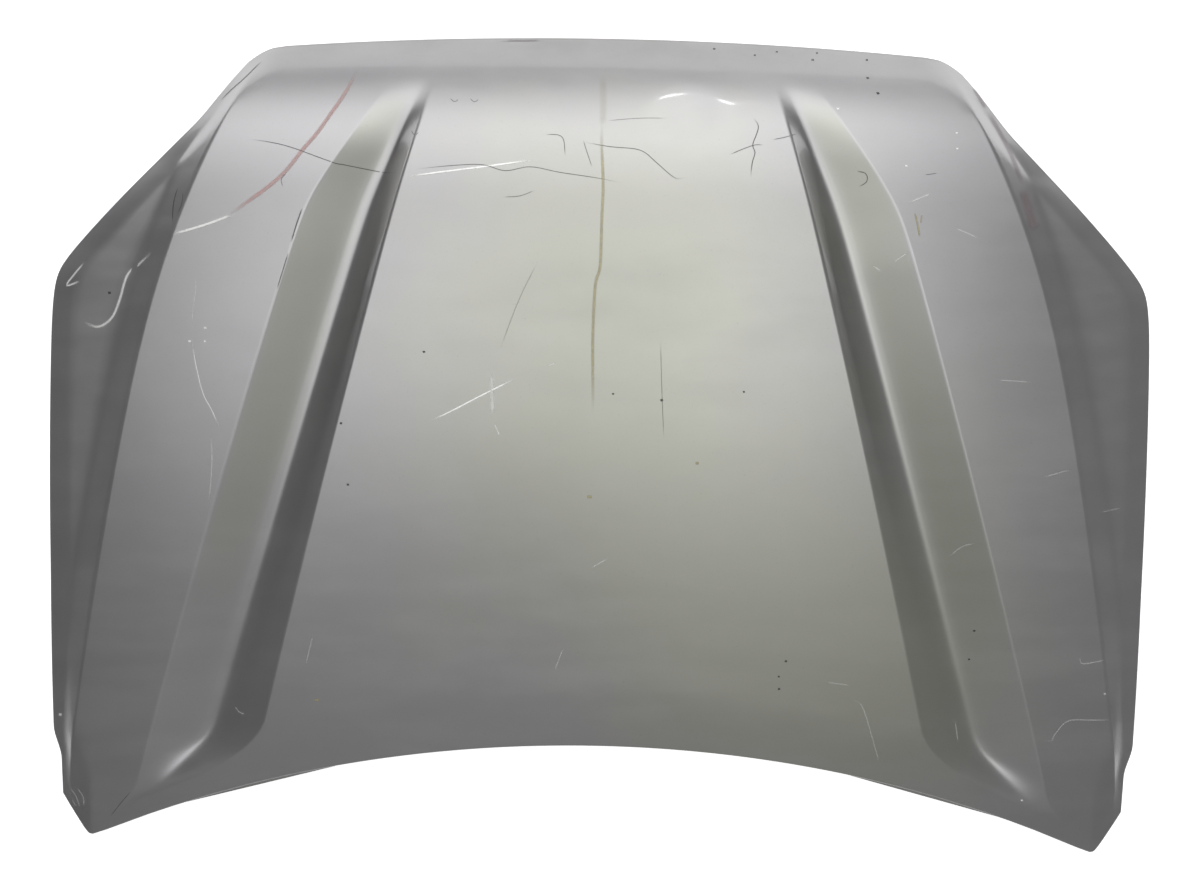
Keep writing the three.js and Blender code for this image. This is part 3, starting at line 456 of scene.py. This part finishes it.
# Scratches, strokes and stains, in millimetres from the datum: (width, strength, points)
LIGHT_SCRATCHES = [
    (3.6, 1.0, [(-263, 353), (-217, 360), (-161, 368), (-90, 379)]),
    (3.4, 1.0, [(-223, 30), (-196, 43), (-157, 64), (-109, 89)]),
    (7, 0.5, [(-143, 97), (-141, 70), (-140, 38)]),
    (2.4, 0.7, [(-138, 29), (-130, 12)]),
    (2.2, 0.6, [(-70, 105), (-58, 109)]),
    (2, 0.6, [(-6, -160), (14, -148)]),
    (2, 0.5, [(-42, -269), (-53, -299)]),
    (2.6, 0.8, [(-544, 133), (-538, 99), (-528, 62), (-516, 40), (-503, 13)]),
    (2, 0.5, [(-517, 7), (-515, -27), (-519, -84)]),
    (1.8, 0.5, [(-378, -259), (-388, -300)]),
    (2.4, 0.7, [(-491, -363), (-484, -371), (-475, -373)]),
    (2.2, 0.6, [(-727, -487), (-718, -499), (-713, -516)]),
    (2.2, 0.6, [(-716, -486), (-707, -499), (-707, -513)]),
    (2, 0.5, [(-725, -504), (-719, -514)]),
    (2, 0.5, [(347, -333), (361, -342), (374, -376), (390, -425)]),
    (2, 0.5, [(311, -310), (345, -314)]),
    (2.4, 0.6, [(495, -366), (500, -394)]),
    (2.2, 0.6, [(713, -362), (681, -362), (649, -363), (631, -383), (628, -391), (617, -391)]),
    (2.4, 0.6, [(660, -274), (665, -283), (697, -278)]),
    (2, 0.5, [(477, -138), (491, -125), (507, -120)]),
    (2, 0.5, [(599, -29), (634, -19)]),
    (2, 0.5, [(528, 99), (577, 97)]),
    (2, 0.4, [(683, -76), (712, -70)]),
    (2.2, 0.6, [(406, 332), (438, 346)]),
    (2.2, 0.6, [(387, 252), (405, 265)]),
    (2.2, 0.6, [(360, 249), (372, 241)]),
    (2, 0.5, [(468, 300), (500, 287)]),
    (1.8, 0.4, [(-539, 215), (-542, 182), (-544, 150)]),
]
WHITE_STROKES = [
    (5.5, 1.0, [(-576, 273), (-547, 281), (-519, 290), (-489, 302)]),
    (4.2, 1.0, [(-701, 238), (-715, 222), (-727, 206), (-706, 212)]),
    (5.5, 0.85, [(-601, 253), (-622, 235), (-639, 220), (-649, 187), (-660, 162), (-680, 150), (-703, 158)]),
]
DARK_SCRATCHES = [
    (1.8, 0.64, [(-481, 405), (-455, 402), (-420, 394), (-362, 373), (-345, 370), (-270, 359)]),
    (1.6, 0.6, [(-254, 363), (-204, 369), (-161, 371), (-130, 363),
        (-97, 369), (-58, 362), (-8, 355), (29, 348)]),
    (1.6, 0.48, [(-132, 327), (-109, 329), (-90, 337)]),
    (1.6, 0.56, [(-79, 415), (-56, 412), (-51, 385)]),
    (1.6, 0.48, [(-28, 409), (-24, 396), (-15, 369)]),
    (1.5, 0.4, [(1, 436), (47, 441), (85, 442)]),
    (1.8, 0.56, [(-28, 405), (8, 399), (48, 395), (71, 377), (95, 357), (112, 359)]),
    (2, 0.64, [(198, 447), (206, 435), (204, 423), (198, 406), (201, 395), (197, 380), (195, 360)]),
    (1.8, 0.56, [(167, 391), (181, 398), (201, 406), (214, 406)]),
    (1.8, 0.56, [(224, 414), (244, 419), (259, 425)]),
    (1.6, 0.28, [(-83, 244), (-108, 191), (-132, 125)]),
    (1.5, 0.4, [(79, 142), (82, 76), (86, 11)]),
    (1.6, 0.56, [(-209, 467), (-202, 461), (-197, 466)]),
    (1.6, 0.56, [(-182, 467), (-175, 461), (-170, 466)]),
    (1.6, 0.56, [(-259, 420), (-253, 412), (-247, 416)]),
    (2.3, 0.64, [(-571, 340), (-575, 323), (-576, 308), (-575, 289)]),
    (1.6, 0.48, [(-563, 333), (-563, 316), (-568, 301)]),
    (1.6, 0.56, [(429, 371), (446, 374)]),
    (1.8, 0.64, [(337, 375), (350, 371), (351, 360), (340, 353)]),
    (1.6, 0.56, [(-422, 357), (-429, 349), (-426, 338)]),
    (2.7, 0.64, [(-398, 311), (-405, 289), (-412, 263)]),
    (2.4, 0.56, [(-415, 251), (-422, 227), (-430, 200)]),
    (3.1, 0.56, [(-475, 528), (-496, 499), (-514, 480), (-528, 463)]),
    (1.6, 0.48, [(-637, -487), (-654, -507), (-670, -527)]),
    (2.7, 0.2, [(-150, 560), (-119, 561), (-85, 562)]),
]
CRAYON_LINE = [
    (8, 0.7, [(-339, 514), (-346, 491), (-355, 468), (-369, 442), (-385, 414), (-402, 391),
        (-419, 366), (-431, 352), (-450, 335), (-470, 320), (-500, 297)]),
]
DRIP_STAIN = [
    (14, 0.12, [(-3, 505), (-2, 461), (-2, 426)]),
    (6, 0.5, [(-3, 440), (-3, 401), (0, 346), (-1, 305), (-2, 239),
        (-7, 219), (-9, 193), (-10, 140), (-9, 88), (-8, 39)]),
]
YELLOW_SPOTS = [
    (4, 0.6, [(414, 320), (418, 302), (421, 285)]),
    (3.4, 0.5, [(424, 317), (422, 304)]),
    (5, 0.7, [(-14, -66), (-7, -66)]),
    (5, 0.7, [(128, -19), (133, -19)]),
    (5, 0.7, [(-377, -348), (-370, -348)]),
]
WORN_PRIMER = [
    (22, 0.45, [(564, 359), (570, 336), (576, 313), (583, 300)]),
    (12, 0.3, [(523, 473), (537, 444), (552, 407), (566, 360)]),
    (10, 0.3, [(509, 508), (523, 473)]),
    (5, 0.25, [(-140, 562), (-112, 562), (-92, 563)]),
]
# Specks: (x, y, width)
DARK_DOTS = [
    (-232, 121, 4), (-341, 25, 4), (-331, -56, 4), (18, 70, 3.4), (190, 76, 3.4),
    (256, -282, 4), (247, -303, 3.4), (248, -320, 4), (514, -240, 4), (510, -280, 3.4),
    (372, 489, 5), (82, 63, 4.5), (362, 543, 4), (360, 513, 4.4), (286, 540, 4.4),
    (293, 552, 3.6), (237, 552, 3.6), (206, 545, 3.6), (150, 554, 4), (-664, 196, 5),
]
LIGHT_DOTS = [
    (476, 433, 4), (475, 410, 4), (404, 383, 4), (-547, 131, 5), (-526, 149, 5),
    (-526, 131, 4.4), (-738, -384, 6), (315, 463, 5), (699, -325, 4), (592, -476, 4),
]


def smooth_path(points, step=4.0):
    """The points joined by a smooth curve, sampled about every step millimetres."""
    points = np.array(points, float)
    if len(points) > 2:
        ends = np.vstack([2 * points[0] - points[1], points, 2 * points[-1] - points[-2]])
        curve = []
        for p0, p1, p2, p3 in zip(ends, ends[1:], ends[2:], ends[3:]):
            for t in np.linspace(0, 1, 6)[:-1]:
                bend = 2 * p0 - 5 * p1 + 4 * p2 - p3
                twist = 3 * p1 - p0 - 3 * p2 + p3
                curve.append((2 * p1 + (p2 - p0) * t + bend * t * t + twist * t ** 3) / 2)
        points = np.array(curve + [points[-1]])
    run = np.concatenate([[0], np.cumsum(np.linalg.norm(np.diff(points, axis=0), axis=1))])
    count = max(3, int(run[-1] / step) + 1)
    at = np.linspace(0, run[-1], count)
    return np.stack([np.interp(at, run, points[:, 0]), np.interp(at, run, points[:, 1])], axis=-1)


def mark_strip(path, width):
    """A ribbon that lies on the paint along the path. Its UV map runs along and across it."""
    count = len(path)
    along = np.gradient(path, axis=0)
    along /= np.linalg.norm(along, axis=1)[:, None]
    side = np.stack([-along[:, 1], along[:, 0]], axis=-1)
    bpy.ops.mesh.primitive_grid_add(x_subdivisions=count - 1, y_subdivisions=2, size=1)
    strip = bpy.context.object
    flat = np.empty(len(strip.data.vertices) * 3)
    strip.data.vertices.foreach_get("co", flat)
    flat = flat.reshape(-1, 3)
    k = np.rint((flat[:, 0] + 0.5) * (count - 1)).astype(int)
    spots = path[k] + side[k] * (flat[:, 1] * width)[:, None]
    placed = to_metres(spots[:, 0], spots[:, 1], outer_height(spots[:, 0], spots[:, 1]) + MARK_LIFT)
    strip.data.vertices.foreach_set("co", placed.ravel())
    return strip


def lay_marks(name, marks, material):
    """All ribbons of one kind joined into one piece, each with its strength as an attribute."""
    strips = []
    for width, strength, points in marks:
        strip = mark_strip(smooth_path(points), width)
        layer = strip.data.attributes.new("strength", "FLOAT", "POINT")
        layer.data.foreach_set("value", np.full(len(strip.data.vertices), strength, np.float32))
        strips.append(strip)
    finish_mark(strips, name, material)


def lay_dots(name, dots, material):
    """Round specks, one disc with a soft rim for each."""
    discs = []
    for x, y, width in dots:
        bpy.ops.mesh.primitive_circle_add(vertices=10, radius=0.5, fill_type="TRIFAN", calc_uvs=True)
        disc = bpy.context.object
        flat = np.empty(len(disc.data.vertices) * 3)
        disc.data.vertices.foreach_get("co", flat)
        flat = flat.reshape(-1, 3)
        wobble = 1 + 0.25 * np.sin(np.arange(len(flat)) * 2.4 + x)
        u, v = x + flat[:, 0] * width * wobble, y + flat[:, 1] * width * wobble
        disc.data.vertices.foreach_set("co", to_metres(u, v, outer_height(u, v) + MARK_LIFT).ravel())
        layer = disc.data.attributes.new("strength", "FLOAT", "POINT")
        layer.data.foreach_set("value", np.full(len(flat), SPECK_STRENGTH, np.float32))
        discs.append(disc)
    finish_mark(discs, name, material)


def finish_mark(parts, name, material):
    bpy.ops.object.select_all(action="DESELECT")
    for part in parts:
        part.select_set(True)
    mark = parts[0]
    bpy.context.view_layer.objects.active = mark
    bpy.ops.object.join()
    mark.name = name
    mark.data.materials.append(material)
    bpy.ops.object.shade_smooth()
    mark.select_set(False)
    mark.visible_shadow = False
    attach(mark, "root")


# Materials
def new_material(name):
    material = bpy.data.materials.new(name)
    material.use_nodes = True
    tree = material.node_tree
    return material, tree, tree.nodes["Principled BSDF"]


def link(tree, source, socket):
    tree.links.new(source, socket)


def object_place(tree, stretch=(1, 1, 1)):
    place = tree.nodes.new("ShaderNodeTexCoord").outputs["Object"]
    if stretch == (1, 1, 1):
        return place
    mapping = tree.nodes.new("ShaderNodeMapping")
    mapping.inputs["Scale"].default_value = stretch
    link(tree, place, mapping.inputs["Vector"])
    return mapping.outputs["Vector"]


def noise(tree, coordinates, scale, detail=3.0, roughness=0.55):
    node = tree.nodes.new("ShaderNodeTexNoise")
    node.inputs["Scale"].default_value = scale
    node.inputs["Detail"].default_value = detail
    node.inputs["Roughness"].default_value = roughness
    link(tree, coordinates, node.inputs["Vector"])
    return node.outputs["Fac"]


def ramp(tree, value, stops):
    node = tree.nodes.new("ShaderNodeValToRGB")
    link(tree, value, node.inputs["Fac"])
    while len(node.color_ramp.elements) < len(stops):
        node.color_ramp.elements.new(0.5)
    for element, (place, colour) in zip(node.color_ramp.elements, stops):
        element.position = place
        element.color = (*colour, 1)
    return node.outputs["Color"]


def sums(tree, operation, first, second=None, third=None):
    node = tree.nodes.new("ShaderNodeMath")
    node.operation = operation
    for socket, value in zip(node.inputs, (first, second, third)):
        if isinstance(value, (int, float)):
            socket.default_value = value
        elif value is not None:
            link(tree, value, socket)
    return node.outputs[0]


def rise(tree, value, low, high, start=0.0, end=1.0):
    node = tree.nodes.new("ShaderNodeMapRange")
    node.interpolation_type = "SMOOTHSTEP"
    for name, number in (("From Min", low), ("From Max", high), ("To Min", start), ("To Max", end)):
        node.inputs[name].default_value = number
    link(tree, value, node.inputs["Value"])
    return node.outputs["Result"]


def blend(tree, factor, first, second):
    node = tree.nodes.new("ShaderNodeMix")
    node.data_type = "RGBA"
    for socket, value in zip((node.inputs[0], node.inputs[6], node.inputs[7]), (factor, first, second)):
        if isinstance(value, (int, float)):
            socket.default_value = value
        elif isinstance(value, tuple):
            socket.default_value = (*value, 1)
        else:
            link(tree, value, socket)
    return node.outputs[2]


def relief(tree, shader, height, strength, distance):
    node = tree.nodes.new("ShaderNodeBump")
    node.inputs["Strength"].default_value = strength
    node.inputs["Distance"].default_value = distance
    link(tree, height, node.inputs["Height"])
    link(tree, node.outputs["Normal"], shader.inputs["Normal"])


def silver_paint():
    """Silver metallic under clear coat, with clouds of haze, wiped dust, specks, and painted shade that also
    roughens it a little.
    """
    material, tree, shader = new_material("silver_paint")
    where = object_place(tree)
    tones = tree.nodes.new("ShaderNodeAttribute")
    tones.attribute_name = "paint_tones_and_shade"
    split = tree.nodes.new("ShaderNodeSeparateColor")
    link(tree, tones.outputs["Color"], split.inputs[0])
    dust, warm, shade_grime = split.outputs[0], split.outputs[1], split.outputs[2]
    cloud = rise(tree, noise(tree, where, 3.2, 5, 0.6), 0.35, 0.65)
    wiped = rise(tree, noise(tree, object_place(tree, (2.2, 9, 2.2)), 2.4, 6, 0.62), 0.38, 0.68)
    blotch = rise(tree, noise(tree, where, 22, 4, 0.6), 0.4, 0.72)
    speck = rise(tree, noise(tree, where, 420, 2, 0.5), 0.66, 0.76)
    hue = sums(tree, "ADD", warm, sums(tree, "MULTIPLY_ADD", cloud, 0.3, -0.15))
    colour = blend(tree, rise(tree, hue, 0.0, 1.0), PAINT_VIOLET, PAINT_GREEN)
    haze = sums(tree, "MULTIPLY_ADD", wiped, 0.10, sums(tree, "MULTIPLY", blotch, 0.05))
    colour = blend(tree, haze, colour, PAINT_HAZE)
    # Painted shade from the blue tone darkens the paint here and roughens it a little.
    shade_and_soil = sums(tree, "MULTIPLY", shade_grime, sums(tree, "MULTIPLY_ADD", cloud, 0.6, 0.4))
    colour = blend(tree, sums(tree, "MULTIPLY", shade_and_soil, 0.22), colour, PAINT_SHADE_GRIME)
    colour = blend(tree, sums(tree, "MULTIPLY", speck, 0.25), colour, (0.2, 0.2, 0.19))
    colour = blend(tree, sums(tree, "MULTIPLY", dust, 0.3), colour, PAINT_DUST)
    link(tree, colour, shader.inputs["Base Color"])
    rough = sums(tree, "MULTIPLY_ADD", wiped, 0.05, PAINT_ROUGHNESS)
    rough = sums(tree, "ADD", rough, sums(tree, "MULTIPLY", shade_and_soil, 0.06))
    link(tree, rough, shader.inputs["Roughness"])
    shader.inputs["Metallic"].default_value = 0.85
    shader.inputs["Coat Weight"].default_value = 0.7
    shader.inputs["Coat Roughness"].default_value = 0.06
    fine = sums(tree, "MULTIPLY", noise(tree, where, 60, 2, 0.5), 0.06)
    ripple = sums(tree, "ADD", noise(tree, where, 9, 2, 0.5), fine)
    relief(tree, shader, ripple, 0.3, 0.0008)
    return material


def mark_paint(name, colour, other, roughness, metallic, broken):
    """A scratch or stain: soft across, fading at its ends, broken up along its length."""
    material, tree, shader = new_material(name)
    where = object_place(tree)
    grain = noise(tree, where, 160, 3, 0.6)
    link(tree, blend(tree, rise(tree, grain, 0.35, 0.65), colour, other), shader.inputs["Base Color"])
    shader.inputs["Roughness"].default_value = roughness
    shader.inputs["Metallic"].default_value = metallic
    split = tree.nodes.new("ShaderNodeSeparateXYZ")
    link(tree, tree.nodes.new("ShaderNodeUVMap").outputs["UV"], split.inputs[0])

    def soft_ends(value, reach):
        from_middle = sums(tree, "ABSOLUTE", sums(tree, "SUBTRACT", value, 0.5))
        return rise(tree, from_middle, 0.5 - reach, 0.5, 1.0, 0.0)

    shape = sums(tree, "MULTIPLY", soft_ends(split.outputs[1], 0.4), soft_ends(split.outputs[0], 0.2))
    patches = rise(tree, noise(tree, where, 130, 3, 0.7), 0.5 - broken, 0.5, 1 - broken, 1.0)
    strength = tree.nodes.new("ShaderNodeAttribute")
    strength.attribute_name = "strength"
    cover = sums(tree, "MULTIPLY", sums(tree, "MULTIPLY", shape, patches), strength.outputs["Fac"])
    link(tree, cover, shader.inputs["Alpha"])
    return material


def plain_finish(name, colour, other, scale, roughness, metallic=0.0, depth=0.0002):
    """A finish of two close colours in a fine grain, with a little relief."""
    material, tree, shader = new_material(name)
    where = object_place(tree)
    grain = noise(tree, where, scale, 4, 0.6)
    patch = noise(tree, where, scale / 12, 3, 0.6)
    mixed = sums(tree, "MULTIPLY_ADD", patch, 0.6, sums(tree, "MULTIPLY", grain, 0.4))
    link(tree, blend(tree, rise(tree, mixed, 0.35, 0.65), colour, other), shader.inputs["Base Color"])
    link(tree, sums(tree, "MULTIPLY_ADD", patch, 0.16, roughness - 0.08), shader.inputs["Roughness"])
    shader.inputs["Metallic"].default_value = metallic
    relief(tree, shader, grain, 0.5, depth)
    return material


# The scene: camera straight above, plain floor, soft light from ahead of the nose
def aim_camera():
    data = bpy.data.cameras.new("camera")
    data.sensor_width = 36
    data.lens = CAMERA_LENS
    data.clip_end = 50
    camera = bpy.data.objects.new("camera", data)
    shift_x, shift_y = CAMERA_SHIFT
    camera.location = (shift_x, DATUM_Y / 1000 + shift_y, CAMERA_HEIGHT + FLOOR_LIFT / 1000)
    camera.rotation_euler = (0, 0, math.radians(CAMERA_ROLL))
    bpy.context.collection.objects.link(camera)
    bpy.context.scene.camera = camera


def lay_floor():
    bpy.ops.mesh.primitive_plane_add(size=30)
    floor = bpy.context.object
    floor.name = "floor"
    material, tree, shader = new_material("pale_floor")
    shader.inputs["Base Color"].default_value = (0.8, 0.8, 0.8, 1)
    shader.inputs["Roughness"].default_value = 0.9
    shader.inputs["Emission Color"].default_value = (1, 1, 1, 1)
    path = tree.nodes.new("ShaderNodeLightPath")
    seen = sums(tree, "ADD", path.outputs["Is Camera Ray"], path.outputs["Is Glossy Ray"])
    seen = sums(tree, "ADD", seen, path.outputs["Is Transmission Ray"])
    link(tree, sums(tree, "MULTIPLY", seen, FLOOR_GLOW), shader.inputs["Emission Strength"])
    floor.data.materials.append(material)
    floor.select_set(False)


def soft_lamp(name, place, target, size, power):
    data = bpy.data.lights.new(name, "AREA")
    data.shape = "RECTANGLE"
    data.size, data.size_y = size
    data.energy = power
    lamp = bpy.data.objects.new(name, data)
    lamp.location = place
    lamp.rotation_euler = (Vector(target) - Vector(place)).to_track_quat("-Z", "Y").to_euler()
    bpy.context.collection.objects.link(lamp)


def sky_along_nose(tree, y):
    """Brightness of the sky from behind the rear edge (left end) to ahead of the nose (right end)."""
    place = sums(tree, "MULTIPLY_ADD", y, 0.5, 0.5)
    stops = [((y + 1) / 2, (level / SKY_TOP,) * 3) for y, level in SKY_LEVELS]
    return sums(tree, "MULTIPLY", ramp(tree, place, stops), SKY_TOP)


def light_scene():
    """A studio sky: a broad soft bank overhead and ahead of the nose, dim at the sides and behind."""
    world = bpy.data.worlds.new("world")
    bpy.context.scene.world = world
    world.use_nodes = True
    tree = world.node_tree
    sky = tree.nodes["Background"]
    sky.inputs["Color"].default_value = (1, 1, 1, 1)
    towards = tree.nodes.new("ShaderNodeSeparateXYZ")
    link(tree, tree.nodes.new("ShaderNodeTexCoord").outputs["Generated"], towards.inputs[0])
    x, y, z = towards.outputs
    across = sums(tree, "MULTIPLY", rise(tree, x, -0.64, -0.33), rise(tree, x, 0.14, 0.53, 1.0, 0.0))
    bank = sums(tree, "MULTIPLY", sky_along_nose(tree, y), across)
    low = rise(tree, z, 0.0, 0.42, 0.12, 1.0)
    side = rise(tree, x, -0.6, 0.6, SIDE_LEFT, SIDE_RIGHT)
    side = sums(tree, "MULTIPLY", side, rise(tree, z, 0.0, 0.3, 0.3, 1.0))
    behind = sums(tree, "MULTIPLY", rise(tree, x, -0.1, 0.2), rise(tree, y, -0.6, -0.2))
    behind = sums(tree, "MULTIPLY", behind, rise(tree, x, 0.3, 0.6, 0.24, 0.0))
    total = sums(tree, "ADD", sums(tree, "MULTIPLY", bank, low), sums(tree, "ADD", side, behind))
    link(tree, total, sky.inputs["Strength"])
    soft_lamp("low_lamp", (0.8, 6.8, 1.9), (0, 0.4, 0.1), (0.3, 0.12), 2.5)


aim_camera()
lay_floor()
light_scene()
bpy.context.scene.view_settings.view_transform = "Standard"

skin = outer_skin()
tone_and_shade_skin(skin)
skin.data.materials.append(silver_paint())
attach(skin, "root")
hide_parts("outer_skin")

white = mark_paint("pale_scratch", (0.97, 0.97, 0.95), (0.9, 0.9, 0.88), 0.38, 0.6, 0.35)
chalk = mark_paint("white_stroke", (0.98, 0.98, 0.96), (0.93, 0.93, 0.91), 0.42, 0.5, 0.2)
black = mark_paint("dark_scratch", (0.03, 0.03, 0.03), (0.09, 0.085, 0.085), 0.6, 0.0, 0.35)
pink = mark_paint("crayon", (0.72, 0.46, 0.44), (0.62, 0.46, 0.44), 0.6, 0.3, 0.3)
yellow = mark_paint("yellow_stain", (0.62, 0.56, 0.30), (0.50, 0.45, 0.26), 0.5, 0.3, 0.25)
primer = mark_paint("worn_primer", (0.24, 0.19, 0.2), (0.34, 0.26, 0.27), 0.7, 0.1, 0.5)
lay_marks("pale_scratches", LIGHT_SCRATCHES, white)
lay_marks("white_strokes", WHITE_STROKES, chalk)
lay_marks("dark_scratches", DARK_SCRATCHES, black)
lay_marks("crayon_line", CRAYON_LINE, pink)
lay_marks("drip_stain", DRIP_STAIN, yellow)
lay_marks("yellow_spots", YELLOW_SPOTS, yellow)
lay_marks("worn_patches", WORN_PRIMER, primer)
lay_dots("dark_specks", DARK_DOTS, black)
lay_dots("pale_chips", LIGHT_DOTS, chalk)

finishes = {
    "inner_frame": plain_finish("inner_paint", (0.36, 0.36, 0.35), (0.42, 0.42, 0.41), 90, 0.45, 0.6),
    "striker": plain_finish("zinc_steel", (0.52, 0.50, 0.44), (0.62, 0.61, 0.58), 140, 0.4, 0.9),
    "bump": plain_finish("black_rubber", (0.018, 0.018, 0.018), (0.035, 0.035, 0.033), 200, 0.8),
    "prop": plain_finish("black_plastic", (0.03, 0.03, 0.032), (0.045, 0.045, 0.047), 260, 0.5),
    "mastic": plain_finish("dark_mastic", (0.07, 0.068, 0.06), (0.12, 0.115, 0.1), 120, 0.85),
}
finishes["hinge"] = finishes["striker"]
for name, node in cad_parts.items():
    word = name if name == "inner_frame" else name.split("_")[0]
    if word in finishes:
        for material_slot in node.material_slots:
            material_slot.material = finishes[word]
